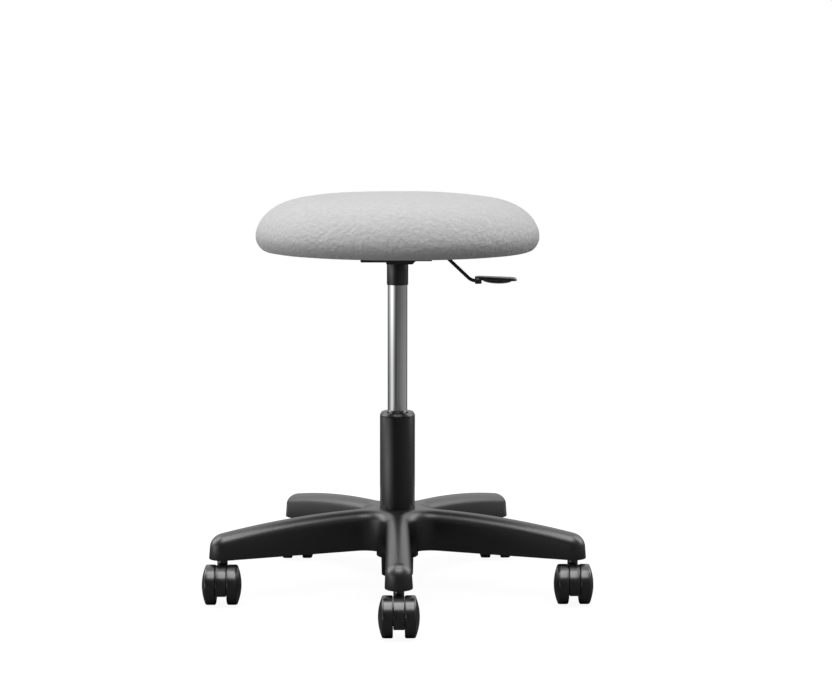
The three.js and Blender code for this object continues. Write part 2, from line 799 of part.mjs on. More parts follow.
// Cushion outline from the underside's edge over the rim to the crown, drawn in by an inset.
const seatShoulderRise = 57.9;
const seatDomeRise = 5;
const rimTuck = 13.7;
const rimTuckPower = 0.79;
const crownFlatPower = 5.88;
const crownRoundPower = 0.582;
const crownShares = [1, 0.985, 0.94, 0.85, 0.7, 0.42, 0];
const tuckAngles = [90, 50, 22];
const cushionSides = 40;

function cushionOutline(inset) {
  const radius = seatRadius - inset;
  const tuck = tuckAngles.map((angle) => [
    radius - rimTuck * (1 - Math.cos(radians(angle))) ** rimTuckPower,
    seatRimHeight - (seatRimDrop - inset) * Math.sin(radians(angle)),
  ]);
  const crown = crownShares.map((share) => {
    const rise = seatShoulderRise - inset + seatDomeRise * (1 - share ** 2);
    return [radius * share, seatRimHeight + rise * (1 - share ** crownFlatPower) ** crownRoundPower];
  });
  return [...tuck, ...crown];
}

// Seat cover: cloth drawn over the foam and turned in under the board.
const coverTurnIn = 28;
const coverTurnInRadius = boardRadius - coverTurnIn;
const turnInTop = boardBottom - restGap;
place("seat_cover", turned([
  ...cushionOutline(coverThickness).reverse(),
  [boardRadius, turnInTop],
  [coverTurnInRadius, turnInTop],
  [coverTurnInRadius, turnInTop - coverThickness],
  [boardRadius, turnInTop - coverThickness],
  ...cushionOutline(0),
], cushionSides), greyCloth);

// Foam pad: moulded over the board and down round its edge.
place("foam_pad", turned([
  [0, boardTop + restGap],
  [boardRadius + restGap, boardTop + restGap],
  [boardRadius + restGap, boardBottom],
  ...cushionOutline(coverThickness + restGap),
], cushionSides), paleFoam);

// Underside cloth: a black disc that finishes the board's underside.
const underclothRadius = coverTurnInRadius - restGap;
const clothHoles = screwPlaces.map(([x, y]) =>
  disc(screwRadius + restGap, boardBottom - cutOverrun, boardTop, screwSides).translate(x, y, 0));
const clothTop = boardBottom - restGap;
const clothDisc = disc(underclothRadius, clothTop - clothThickness, clothTop, boardSides);
place("underside_cloth", cutFrom(clothDisc, ...clothHoles), blackCloth);

// Casters: a centre body with a wheel on each side, on a steel axle, under a steel stem.
const casterBodyWidth = 15;
const casterBodyInset = 0.6;
const casterNotchHeight = 15.8;
const casterBodySegments = 9;
const neckRadius = 7.3;
const neckBottom = 30;
const neckGap = 0.4;
const stemHold = 22;
const stemChamfer = 1;
const stemGripGroove = 0.7;
const stemGripShares = [0.55, 0.7];
const axleRadius = 3;
const axleSides = 12;
const wheelSides = 20;
const wheelDomeDepth = 5.5;
const wheelEdge = 1.2;
const wheelShoulder = 2.5;
const wheelDomeShares = [0.93, 0.72, 0.4, 0];
const wheelBoreShare = 0.72;
const neckTop = armUnderside - neckGap;
const stemBottom = neckTop - stemHold;
const stemTop = armUnderside + stemRise;
const wheelWidth = (casterWidth - casterBodyWidth) / 2 - turnGap;
const wheelInnerX = casterBodyWidth / 2 + turnGap;
const axleReach = wheelInnerX + wheelWidth * wheelBoreShare - restGap;
const treadRadius = wheelRadius / Math.cos(Math.PI / wheelSides);

function casterBody() {
  const discRadius = wheelRadius - casterBodyInset;
  const chordAngle = Math.asin((wheelRadius - casterNotchHeight) / discRadius);
  const outline = new THREE.Shape();
  outline.absarc(0, 0, discRadius, -chordAngle, Math.PI + chordAngle);
  outline.closePath();
  const plate = extruded(outline, casterBodyWidth, casterBodySegments)
    .applyMatrix4(standAcross)
    .translate(-casterBodyWidth / 2, -casterTrail, wheelRadius);
  const neck = disc(neckRadius, neckBottom, neckTop, footSides);
  const stemBore = disc(stemRadius + restGap, stemBottom - restGap, neckTop + cutOverrun, stemSides);
  const axleBore = disc(axleRadius + restGap, -casterWidth, casterWidth, axleSides)
    .rotateY(quarterTurn)
    .translate(0, -casterTrail, wheelRadius);
  return cutFrom(joined(plate, neck), stemBore, axleBore);
}

function casterStem() {
  const grip = stemGripShares.map((share) => armUnderside + stemRise * share);
  return turned([
    [0, stemBottom],
    [stemRadius, stemBottom],
    [stemRadius, grip[0]],
    [stemRadius - stemGripGroove, grip[0]],
    [stemRadius - stemGripGroove, grip[1]],
    [stemRadius, grip[1]],
    [stemRadius, stemTop - stemChamfer],
    [stemRadius - stemChamfer, stemTop],
    [0, stemTop],
  ], stemSides);
}

function casterWheel() {
  const boreRadius = axleRadius + turnGap;
  const boreDepth = wheelWidth * wheelBoreShare;
  return turned([
    [0, boreDepth],
    [boreRadius, boreDepth],
    [boreRadius, 0],
    [treadRadius - wheelEdge, 0],
    [treadRadius, wheelEdge],
    [treadRadius, wheelWidth - wheelDomeDepth - wheelShoulder],
    ...wheelDomeShares.map((share) => [wheelRadius * share, wheelWidth - wheelDomeDepth * share ** 2]),
  ], wheelSides).rotateZ(Math.PI / wheelSides);
}

const bodyShape = casterBody();
const stemShape = casterStem();
const wheelShape = casterWheel();
const axleShape = disc(axleRadius, -axleReach, axleReach, axleSides);

for (let arm = 0; arm < armCount; arm++) {
  const turn = radians(frontArmAngle + arm * armStep);
  const caster = new THREE.Group();
  caster.position.set(casterCircleRadius * Math.cos(turn), casterCircleRadius * Math.sin(turn), 0);
  stool.add(caster);
  const number = arm + 1;
  place(`caster_stem_${number}`, stemShape, plainSteel, caster);
  place(`caster_body_${number}`, bodyShape, blackPlastic, caster);
  const axle = place(`caster_axle_${number}`, axleShape, plainSteel, caster);
  axle.position.set(0, -casterTrail, wheelRadius);
  axle.rotation.y = quarterTurn;
  for (const [side, name] of [[-1, "left"], [1, "right"]]) {
    const wheel = place(`wheel_${name}_${number}`, wheelShape, blackPlastic, caster);
    wheel.position.set(side * wheelInnerX, -casterTrail, wheelRadius);
    wheel.rotation.y = side * quarterTurn;
  }
}

// The part's origin lies on the floor under the middle of its footprint.
const frontReach = casterCircleRadius + casterTrail + treadRadius * Math.cos(Math.PI / wheelSides);
const backTipReach = casterCircleRadius * Math.sin(radians(armStep * 2 + frontArmAngle)) + armTipRadius;
stool.position.y = (frontReach - backTipReach) / 2;

const part = new THREE.Group();
part.add(stool);

export default part;
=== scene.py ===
import math

import bmesh
import bpy
from mathutils import Matrix, Vector, noise


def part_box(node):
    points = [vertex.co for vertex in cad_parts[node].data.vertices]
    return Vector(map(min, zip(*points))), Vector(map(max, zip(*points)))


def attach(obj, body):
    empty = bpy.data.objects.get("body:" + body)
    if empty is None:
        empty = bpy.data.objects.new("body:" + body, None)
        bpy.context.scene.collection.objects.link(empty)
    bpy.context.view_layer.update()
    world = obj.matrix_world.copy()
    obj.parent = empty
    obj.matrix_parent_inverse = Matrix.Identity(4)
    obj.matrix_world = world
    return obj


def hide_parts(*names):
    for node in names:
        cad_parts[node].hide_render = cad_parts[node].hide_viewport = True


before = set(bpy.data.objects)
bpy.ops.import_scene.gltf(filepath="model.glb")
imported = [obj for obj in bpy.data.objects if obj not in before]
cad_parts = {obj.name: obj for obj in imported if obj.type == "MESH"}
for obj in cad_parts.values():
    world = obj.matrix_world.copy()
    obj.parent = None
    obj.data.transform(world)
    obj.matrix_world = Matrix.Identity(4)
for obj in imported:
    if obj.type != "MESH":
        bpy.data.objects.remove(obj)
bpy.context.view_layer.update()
mm = 0.001

# Camera: a long lens 2.9 m in front of the column, a quarter higher than the stool and tipped down
# to it. It stands a hair to the left of the front arm's line, as the photographed base is turned.
column_low, column_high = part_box("column_outer_tube")
axis_y = (column_low.y + column_high.y) / 2
camera_distance = 2896.06 * mm
camera_height = 710.06 * mm
camera_azimuth = math.radians(0.42)
camera_pitch = math.radians(83.106)
camera_aim = math.radians(0.508)
camera_roll = math.radians(-0.1)
sensor_width, focal_length = 36, 88.78
bpy.ops.object.camera_add(
    location=(
        -camera_distance * math.sin(camera_azimuth),
        axis_y - camera_distance * math.cos(camera_azimuth),
        camera_height,
    ),
    rotation=(camera_pitch, camera_roll, -(camera_azimuth + camera_aim)),
)
camera = bpy.context.object
camera.name = "studio_camera"
camera.data.sensor_width = sensor_width
camera.data.lens = focal_length
bpy.context.scene.camera = camera
bpy.context.scene.view_settings.view_transform = "Standard"


# Studio: a round floor, a soft box overhead and to the front, a tall one at each side, and a
# surround that is white to the eye. Its own light is a low bright panel on the left, a dark front
# and a dim right, and in reflections its back and ceiling are white above a dark skirting.
def node_in(tree, kind, **sockets):
    node = tree.nodes.new(kind)
    for name, value in sockets.items():
        node.inputs[name.replace("_", " ")].default_value = value
    return node


def maths(tree, operation, *values):
    node = tree.nodes.new("ShaderNodeMath")
    node.operation = operation
    for number, value in enumerate(values):
        if isinstance(value, bpy.types.NodeSocket):
            tree.links.new(value, node.inputs[number])
        else:
            node.inputs[number].default_value = value
    return node.outputs[0]


def seen_white(tree, place_mask):
    path = tree.nodes.new("ShaderNodeLightPath")
    mirrored = maths(tree, "ADD", path.outputs["Is Glossy Ray"], path.outputs["Is Transmission Ray"])
    behind = maths(tree, "MULTIPLY", mirrored, place_mask)
    return maths(tree, "MINIMUM", maths(tree, "ADD", path.outputs["Is Camera Ray"], behind), 1.0)


def fading(tree, value, start, end):
    node = tree.nodes.new("ShaderNodeMapRange")
    node.interpolation_type = "SMOOTHSTEP"
    tree.links.new(value, node.inputs["Value"])
    node.inputs["From Min"].default_value = start
    node.inputs["From Max"].default_value = end
    node.inputs["To Min"].default_value = 1.0
    node.inputs["To Max"].default_value = 0.0
    return node.outputs["Result"]


def white_surround():
    world = bpy.data.worlds.new("white_surround")
    bpy.context.scene.world = world
    world.use_nodes = True
    tree = world.node_tree
    tree.nodes.clear()
    direction = tree.nodes.new("ShaderNodeTexCoord")
    parts = tree.nodes.new("ShaderNodeSeparateXYZ")
    tree.links.new(direction.outputs["Generated"], parts.inputs[0])
    turn = maths(tree, "ARCTAN2", parts.outputs["X"], maths(tree, "MULTIPLY", parts.outputs["Y"], -1.0))
    share = maths(tree, "ADD", maths(tree, "DIVIDE", turn, 2 * math.pi), 0.5)
    panels = tree.nodes.new("ShaderNodeValToRGB")
    tree.links.new(share, panels.inputs["Fac"])
    # Degrees round from the front, to the right, and the tone there.
    tones = [(-180, 0.02), (-155, 0.03), (-138, 0.13), (-115, 0.25), (-94, 0.47), (-79, 0.95),
             (-61, 1.0), (-47, 0.46), (-34, 0.20), (-22, 0.042), (-12, 0.052), (22, 0.07),
             (47, 0.10), (74, 0.12), (109, 0.15), (128, 0.13), (145, 0.04), (180, 0.02)]
    stops = panels.color_ramp.elements
    for turned, tone in tones[1:-1]:
        stops.new(turned / 360 + 0.5)
    for stop, (turned, tone) in zip(stops, tones):
        stop.position = turned / 360 + 0.5
        stop.color = (tone, tone, tone, 1)
    panel_strength = 1.65
    low_left_share, high_left_share, low_right_share = -0.45, -0.85, 0.3
    left_edge, low_edge, high_edge = (-0.5, 0.0), (-0.24, -0.06), (0.28, -0.03)
    left = fading(tree, parts.outputs["X"], *left_edge)
    low = fading(tree, parts.outputs["Z"], *low_edge)
    high = fading(tree, parts.outputs["Z"], *high_edge)
    left_fall = maths(tree, "ADD", maths(tree, "MULTIPLY", low, low_left_share),
                      maths(tree, "MULTIPLY", high, high_left_share))
    right_rise = maths(tree, "MULTIPLY", low, low_right_share)
    turn_share = maths(tree, "ADD", right_rise, maths(
        tree, "MULTIPLY", left, maths(tree, "SUBTRACT", left_fall, right_rise)))
    room = tree.nodes.new("ShaderNodeBackground")
    tree.links.new(panels.outputs["Color"], room.inputs["Color"])
    tree.links.new(maths(tree, "MULTIPLY", maths(tree, "ADD", 1.0, turn_share), panel_strength),
                   room.inputs["Strength"])
    white = node_in(tree, "ShaderNodeBackground", Color=(1, 1, 1, 1), Strength=1.0)
    back_edge, skirting_edge = (0.45, 0.05), (0.25, 0.02)
    side_edge, ceiling_edge = (0.1, -0.3), (0.55, 0.3)
    back = fading(tree, parts.outputs["Y"], *back_edge)
    above_skirting = fading(tree, parts.outputs["Z"], *skirting_edge)
    side = fading(tree, parts.outputs["Y"], *side_edge)
    ceiling = fading(tree, parts.outputs["Z"], *ceiling_edge)
    mask = maths(tree, "MAXIMUM", maths(tree, "MULTIPLY", back, above_skirting),
                 maths(tree, "MULTIPLY", side, ceiling))
    mix = tree.nodes.new("ShaderNodeMixShader")
    tree.links.new(seen_white(tree, mask), mix.inputs[0])
    tree.links.new(room.outputs[0], mix.inputs[1])
    tree.links.new(white.outputs[0], mix.inputs[2])
    output = tree.nodes.new("ShaderNodeOutputWorld")
    tree.links.new(mix.outputs[0], output.inputs["Surface"])


def floor_finish():
    floor_tone, painted_shade_share = 0.12, 0.06
    behind_edge, painted_shade_edge = (0.6, 0.3), (0.3, 0.55)
    material = bpy.data.materials.new("pale_floor")
    material.use_nodes = True
    tree = material.node_tree
    tree.nodes.clear()
    diffuse = node_in(tree, "ShaderNodeBsdfDiffuse", Color=(floor_tone, floor_tone, floor_tone, 1))
    place = tree.nodes.new("ShaderNodeTexCoord")
    parts = tree.nodes.new("ShaderNodeSeparateXYZ")
    tree.links.new(place.outputs["Object"], parts.inputs[0])
    behind = fading(tree, parts.outputs["Y"], *behind_edge)
    distance = tree.nodes.new("ShaderNodeVectorMath")
    distance.operation = "LENGTH"
    tree.links.new(place.outputs["Object"], distance.inputs[0])
    # Near the stool the floor's white glow is dimmed a little. This is painted shade in a disc round the
    # stool, and the diffuse part's real shadow shows through it.
    near_stool = fading(tree, distance.outputs["Value"], *painted_shade_edge)
    glow = node_in(tree, "ShaderNodeEmission", Color=(1, 1, 1, 1))
    painted_shade = maths(tree, "MULTIPLY", near_stool, painted_shade_share)
    strength = maths(tree, "MULTIPLY", seen_white(tree, behind), maths(tree, "SUBTRACT", 1.0, painted_shade))
    tree.links.new(strength, glow.inputs["Strength"])
    total = tree.nodes.new("ShaderNodeAddShader")
    tree.links.new(diffuse.outputs[0], total.inputs[0])
    tree.links.new(glow.outputs[0], total.inputs[1])
    output = tree.nodes.new("ShaderNodeOutputMaterial")
    tree.links.new(total.outputs[0], output.inputs["Surface"])
    return material


def soft_box(name, place, aim, width, height, radiance):
    bpy.ops.object.light_add(type="AREA", location=place)
    lamp = bpy.context.object
    lamp.name = name
    lamp.rotation_euler = (Vector(aim) - Vector(place)).to_track_quat("-Z", "Y").to_euler()
    lamp.data.shape = "RECTANGLE"
    lamp.data.size = width
    lamp.data.size_y = height
    lamp.data.energy = radiance * math.pi * width * height
    return lamp


bpy.ops.object.select_all(action="DESELECT")
white_surround()
floor_radius, floor_drop = 0.8, 0.4 * mm
bpy.ops.mesh.primitive_circle_add(vertices=96, radius=floor_radius, fill_type="NGON",
                                  location=(0, 0, -floor_drop))
floor = bpy.context.object
floor.name = "floor"
floor.data.materials.append(floor_finish())
stool_middle = (0, axis_y, 0.3)
overhead_place, left_place, right_place = (0, -0.75, 2.35), (-1.8, 0.45, 1.5), (1.8, 0.45, 1.5)
overhead_width, overhead_length, side_width, side_height = 1.7, 2.0, 1.2, 2.1
overhead_radiance, left_radiance, right_radiance = 3.15, 2.2, 1.8
soft_box("overhead_box", overhead_place, stool_middle, overhead_width, overhead_length, overhead_radiance)
soft_box("left_side_box", left_place, stool_middle, side_width, side_height, left_radiance)
soft_box("right_side_box", right_place, stool_middle, side_width, side_height, right_radiance)


# Star base: five hollow arms on a hub, moulded in one piece of black nylon with a fine grain.
# Each arm is drawn from one section that runs out along the arm and round its tip, and turns
# round the fillet at the hub; ribs, the column's boss and the stem sockets stiffen it below.
def fresh():
    bpy.ops.object.select_all(action="DESELECT")


def choose(piece):
    fresh()
    piece.select_set(True)
    bpy.context.view_layer.objects.active = piece


def edit(piece):
    choose(piece)
    bpy.ops.object.mode_set(mode="EDIT")


def pick(piece, kind, wanted):
    bpy.ops.mesh.select_mode(type={"verts": "VERT", "edges": "EDGE", "faces": "FACE"}[kind])
    bpy.ops.mesh.select_all(action="DESELECT")
    mesh = bmesh.from_edit_mesh(piece.data)
    for element in getattr(mesh, kind):
        element.select_set(bool(wanted(element)))
    mesh.select_flush_mode()
    bmesh.update_edit_mesh(piece.data)


def drawn(name, points):
    fresh()
    bpy.ops.mesh.primitive_plane_add(size=mm, location=(0, 0, 0))
    piece = bpy.context.object
    piece.name = piece.data.name = name
    bpy.ops.object.mode_set(mode="EDIT")
    bpy.ops.mesh.select_mode(type="VERT")
    bpy.ops.mesh.select_all(action="SELECT")
    bpy.ops.mesh.merge(type="CENTER")
    bpy.ops.transform.translate(value=points[0])
    for here, there in zip(points, points[1:]):
        step = Vector(there) - Vector(here)
        bpy.ops.mesh.extrude_region_move(TRANSFORM_OT_translate={"value": step})
    bpy.ops.mesh.select_all(action="SELECT")
    return piece


def weld(distance=0.02 * mm):
    # Joins doubled points over the whole piece and turns its faces outwards.
    bpy.ops.mesh.select_all(action="SELECT")
    bpy.ops.mesh.remove_doubles(threshold=distance)
    bpy.ops.mesh.normals_make_consistent(inside=False)


def modified(piece, kind, **settings):
    choose(piece)
    bpy.ops.object.modifier_add(type=kind)
    modifier = piece.modifiers[-1]
    for name, value in settings.items():
        setattr(modifier, name, value)
    bpy.ops.object.modifier_apply(modifier=modifier.name)
    return piece


def rounded(piece, width, segments=3, angle=30):
    return modified(piece, "BEVEL", width=width, segments=segments, limit_method="ANGLE",
                    angle_limit=math.radians(angle), harden_normals=False)


def merged(piece, tool, operation="UNION"):
    modified(piece, "BOOLEAN", object=tool, operation=operation, solver="EXACT")
    bpy.data.objects.remove(tool)
    return piece


def settled(piece, place=(0, 0, 0), turn=(0, 0, 0)):
    choose(piece)
    piece.location = place
    piece.rotation_euler = turn
    bpy.ops.object.transform_apply(location=True, rotation=True, scale=True)
    return piece


def smooth(piece, angle=35):
    choose(piece)
    bpy.ops.object.shade_smooth_by_angle(angle=math.radians(angle))
    return piece


def round_bar(name, radius, low, high, sides=48, top_radius=None):
    fresh()
    bpy.ops.mesh.primitive_cone_add(
        vertices=sides, radius1=radius, radius2=radius if top_radius is None else top_radius,
        depth=high - low, location=(0, 0, (low + high) / 2))
    piece = bpy.context.object
    piece.name = piece.data.name = name
    return settled(piece, piece.location)


def roughened(tree, shader, source, low, high):
    spread = tree.nodes.new("ShaderNodeMapRange")
    spread.inputs["To Min"].default_value = low
    spread.inputs["To Max"].default_value = high
    tree.links.new(source, spread.inputs["Value"])
    tree.links.new(spread.outputs["Result"], shader.inputs["Roughness"])


def plastic_grain(tree, shader, grain_size, depth, rough_low, rough_high):
    patch_size = 60 * mm
    place = tree.nodes.new("ShaderNodeTexCoord")
    grain = node_in(tree, "ShaderNodeTexNoise", Scale=1 / grain_size, Detail=3.0)
    patches = node_in(tree, "ShaderNodeTexNoise", Scale=1 / patch_size, Detail=2.0)
    bump = node_in(tree, "ShaderNodeBump", Strength=0.35, Distance=depth)
    tree.links.new(place.outputs["Object"], grain.inputs["Vector"])
    tree.links.new(place.outputs["Object"], patches.inputs["Vector"])
    tree.links.new(grain.outputs["Fac"], bump.inputs["Height"])
    tree.links.new(bump.outputs["Normal"], shader.inputs["Normal"])
    roughened(tree, shader, patches.outputs["Fac"], rough_low, rough_high)
    return patches


def tinted(tree, shader, source, low, high):
    ramp = tree.nodes.new("ShaderNodeValToRGB")
    ramp.color_ramp.elements[0].position = 0.3
    ramp.color_ramp.elements[1].position = 0.7
    ramp.color_ramp.elements[0].color = (*low, 1)
    ramp.color_ramp.elements[1].color = (*high, 1)
    tree.links.new(source, ramp.inputs["Fac"])
    tree.links.new(ramp.outputs["Color"], shader.inputs["Base Color"])


def new_finish(name):
    material = bpy.data.materials.new(name)
    material.use_nodes = True
    tree = material.node_tree
    return material, tree, tree.nodes["Principled BSDF"]


def moulded_black(name, grain_size, depth, rough_low, rough_high):
    material, tree, shader = new_finish(name)
    shader.inputs["IOR"].default_value = 1.6
    shader.inputs["Specular IOR Level"].default_value = 1.0
    darkest, palest = (0.005, 0.005, 0.0053), (0.008, 0.008, 0.0084)
    patches = plastic_grain(tree, shader, grain_size, depth, rough_low, rough_high)
    tinted(tree, shader, patches.outputs["Fac"], darkest, palest)
    return material


arm_count = 5
arm_step = 2 * math.pi / arm_count
arm_foot = 61.5 * mm
arm_top = 118.2 * mm
arm_root_half = 17 * mm
arm_tip_half = 18.8 * mm
arm_draft = 1.3 * mm
shoulder_radius = 15.4 * mm
hub_fillet = 30 * mm
ridge_start = 30 * mm
ridge_radius = 1200 * mm
base_wall = 3 * mm
base_edge = 0.7 * mm
rim_clearance = 5 * mm
rib_places = [101 * mm, 151 * mm, 200 * mm, 232 * mm]
rib_thickness, rib_inset, rib_lift = 2.5 * mm, 1.5 * mm, 0.8 * mm
boss_radius, boss_foot, boss_top, boss_edge = 30 * mm, 47.7 * mm, arm_top - 1 * mm, 0.8 * mm
socket_radius, socket_top = 11 * mm, 91.5 * mm
stem_bore, stem_bore_top = 5.9 * mm, 90.9 * mm
taper_foot, taper_top = 45 * mm, 125 * mm
taper_foot_radius, taper_top_radius = 23.47 * mm, 25.5 * mm
overrun, near, hair = 5 * mm, 0.1 * mm, 0.05 * mm
stem_low, stem_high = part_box("caster_stem_1")
caster_circle = axis_y - (stem_low.y + stem_high.y) / 2
arm_root = (arm_root_half + hub_fillet) / math.tan(arm_step / 2)


def section(along, half, top, inset=0.0, foot=arm_foot):
    flat = half - arm_draft - shoulder_radius
    steps = 10
    arc = [(flat + (shoulder_radius - inset) * math.sin(turn), top - shoulder_radius
            + (shoulder_radius - inset) * math.cos(turn))
           for turn in (math.pi / 2 * step / steps for step in range(steps + 1))]
    outline = [(0, top - inset), *arc, (half - inset, foot)]
    return [(along, across, height) for across, height in outline]


def arm_shell():
    shell = drawn("moulded_base", section(arm_root, arm_root_half, arm_top))
    arm_steps, tip_steps, fillet_steps = 24, 12, 8
    stride = (caster_circle - arm_root) / arm_steps
    widening = (arm_tip_half / arm_root_half) ** (1 / arm_steps)
    for _ in range(arm_steps):
        bpy.ops.mesh.extrude_region_move(TRANSFORM_OT_translate={"value": (stride, 0, 0)})
        bpy.ops.transform.resize(value=(1, widening, 1), center_override=(0, 0, 0))
    bpy.ops.mesh.spin(steps=tip_steps, angle=math.pi / 2, center=(caster_circle, 0, 0), axis=(0, 0, 1))
    pick(shell, "verts", lambda vert: abs(vert.co.x - arm_root) < hair)
    bpy.ops.mesh.spin(steps=fillet_steps, angle=math.pi / 2 - arm_step / 2,
                      center=(arm_root, arm_root_half + hub_fillet, 0), axis=(0, 0, 1))
    weld()
    # The rim at the foot is hidden and the rest pressed nearly flat, so that proportional editing
    # bends the ridge down by its distance along the arm alone. Then the height comes back.
    pick(shell, "verts", lambda vert: vert.co.z < arm_foot + near)
    bpy.ops.mesh.hide(unselected=False)
    arm_end = caster_circle + arm_tip_half - arm_draft * arm_tip_half / arm_root_half
    fall = (arm_end - ridge_start) ** 2 / (2 * ridge_radius)
    flat_share = 0.01
    bpy.ops.mesh.select_all(action="SELECT")
    bpy.ops.transform.resize(value=(1, flat_share, flat_share), center_override=(0, 0, 0))
    pick(shell, "verts", lambda vert: not vert.hide and vert.co.x > arm_end - hair)
    bpy.ops.transform.translate(value=(0, 0, -fall * flat_share), use_proportional_edit=True,
                                proportional_edit_falloff="SHARP",
                                proportional_size=arm_end - ridge_start)
    bpy.ops.mesh.select_all(action="SELECT")
    bpy.ops.transform.resize(value=(1, 1 / flat_share, 1 / flat_share), center_override=(0, 0, 0))
    bpy.ops.mesh.reveal()
    bpy.ops.object.mode_set(mode="OBJECT")
    modified(shell, "MIRROR", use_axis=(False, True, False), merge_threshold=0.02 * mm)
    edit(shell)
    bpy.ops.mesh.select_all(action="SELECT")
    bpy.ops.mesh.spin(steps=arm_count - 1, dupli=True, angle=arm_step * (arm_count - 1),
                      center=(0, 0, 0), axis=(0, 0, 1))
    weld(near)
    pick(shell, "edges", lambda edge: edge.is_boundary
         and all(vert.co.z > arm_foot + rim_clearance for vert in edge.verts))
    bpy.ops.mesh.edge_face_add()
    weld()
    bpy.ops.object.mode_set(mode="OBJECT")
    modified(shell, "SOLIDIFY", thickness=base_wall, offset=-1, use_even_offset=True)
    return rounded(shell, base_edge, 2, 50)


def rib(along, half, top):
    outline = section(along, half, top, rib_inset, arm_foot + rib_lift)
    outline += [(x, -y, z) for x, y, z in reversed(outline[1:])]
    piece = drawn("rib", outline)
    bpy.ops.mesh.edge_face_add()
    bpy.ops.mesh.extrude_region_move(TRANSFORM_OT_translate={"value": (rib_thickness, 0, 0)})
    weld()
    bpy.ops.object.mode_set(mode="OBJECT")
    return piece


def ridge(along):
    return arm_top - max(0, along - ridge_start) ** 2 / (2 * ridge_radius)


def star_base():
    base = arm_shell()
    boss = round_bar("boss", boss_radius, boss_foot, boss_top, 64)
    merged(base, rounded(boss, boss_edge, 2))
    for arm in range(arm_count):
        for along in rib_places:
            share = (along - arm_root) / (caster_circle - arm_root)
            half = arm_root_half * (arm_tip_half / arm_root_half) ** share
            merged(base, settled(rib(along, half, ridge(along)), turn=(0, 0, arm * arm_step)))
        socket = round_bar("socket", socket_radius, arm_foot, socket_top, 32)
        hole = round_bar("stem_hole", stem_bore, arm_foot - overrun, stem_bore_top, 32)
        turned_place = Matrix.Rotation(arm * arm_step, 4, "Z") @ Vector((caster_circle, 0, 0))
        merged(base, settled(socket, turned_place))
        merged(base, settled(hole, turned_place), "DIFFERENCE")
    taper = round_bar("taper", taper_foot_radius, taper_foot, taper_top, 96, taper_top_radius)
    merged(base, taper, "DIFFERENCE")
    settled(base, (0, axis_y, 0), (0, 0, -math.pi / 2))
    return smooth(base, 32)


nylon_grain, nylon_depth = 0.7 * mm, 0.05 * mm
nylon_roughness = (0.34, 0.4)


def finished(piece, material, slot_name, body, *nodes):
    piece.data.materials.clear()
    piece.data.materials.append(material)
    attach(piece, body)
    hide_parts(*nodes)
    return piece


grained_nylon = moulded_black("grained_nylon", nylon_grain, nylon_depth, *nylon_roughness)
finished(star_base(), grained_nylon, "black_nylon", "base", "star_base")


# Casters: twin domed wheels of black plastic, one on each side of a centre body that is cut flat
# below and carries a round neck. One body and one wheel are modelled, then copied to each arm.
caster_turns = [-math.pi / 2 + arm * arm_step for arm in range(arm_count)]
wheel_low, wheel_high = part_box("wheel_right_1")
wheel_radius = 28 * mm
caster_trail = caster_circle - axis_y + (wheel_low.y + wheel_high.y) / 2
wheel_width = wheel_high.x - wheel_low.x
wheel_gap = wheel_low.x
neck_radius, neck_foot, neck_top, neck_edge = 7.3 * mm, 30 * mm, 61.1 * mm, 0.7 * mm
centre_radius, centre_edge = 27.4 * mm, 1.1 * mm
stem_hold_radius, stem_hold_foot, stem_hold_top = 5.8 * mm, 38.8 * mm, neck_top + 2 * mm
axle_hole_radius, axle_hole_reach = 3.3 * mm, 20 * mm
body_half, notch_height = 7.5 * mm, 16.4 * mm
lip_radius, lip_depth = 12 * mm, 1 * mm
plastic_fine_grain, plastic_depth = 0.45 * mm, 0.02 * mm
plastic_roughness = (0.22, 0.28)


def spun(name, outline, sides=96):
    piece = drawn(name, [(radius, 0, height) for radius, height in outline])
    bpy.ops.mesh.spin(steps=sides, angle=2 * math.pi, center=(0, 0, 0), axis=(0, 0, 1))
    weld()
    bpy.ops.object.mode_set(mode="OBJECT")
    return piece


def copied(piece, name, place, turn=(0, 0, 0)):
    choose(piece)
    bpy.ops.object.duplicate()
    other = bpy.context.object
    other.name = other.data.name = name
    return settled(other, place, turn)


def caster_body():
    body = round_bar("caster_body", centre_radius, -body_half, body_half, 96)
    settled(body, (0, 0, 0), (0, math.pi / 2, 0))
    edit(body)
    bpy.ops.mesh.select_all(action="SELECT")
    bpy.ops.mesh.bisect(plane_co=(0, 0, notch_height - wheel_radius), plane_no=(0, 0, 1),
                        use_fill=True, clear_inner=True)
    weld()
    bpy.ops.object.mode_set(mode="OBJECT")
    rounded(body, centre_edge, 3)
    lip = round_bar("lip", lip_radius, -body_half - lip_depth, body_half + lip_depth, 64)
    merged(body, settled(lip, (0, 0, 0), (0, math.pi / 2, 0)))
    settled(body, (0, caster_trail, wheel_radius))
    merged(body, rounded(round_bar("neck", neck_radius, neck_foot, neck_top, 64), neck_edge, 2))
    stem_hole = round_bar("stem_hole", stem_hold_radius, stem_hold_foot, stem_hold_top, 32)
    merged(body, stem_hole, "DIFFERENCE")
    axle_hole = round_bar("axle_hole", axle_hole_radius, -axle_hole_reach, axle_hole_reach, 32)
    settled(axle_hole, (0, caster_trail, wheel_radius), (0, math.pi / 2, 0))
    return smooth(merged(body, axle_hole, "DIFFERENCE"))


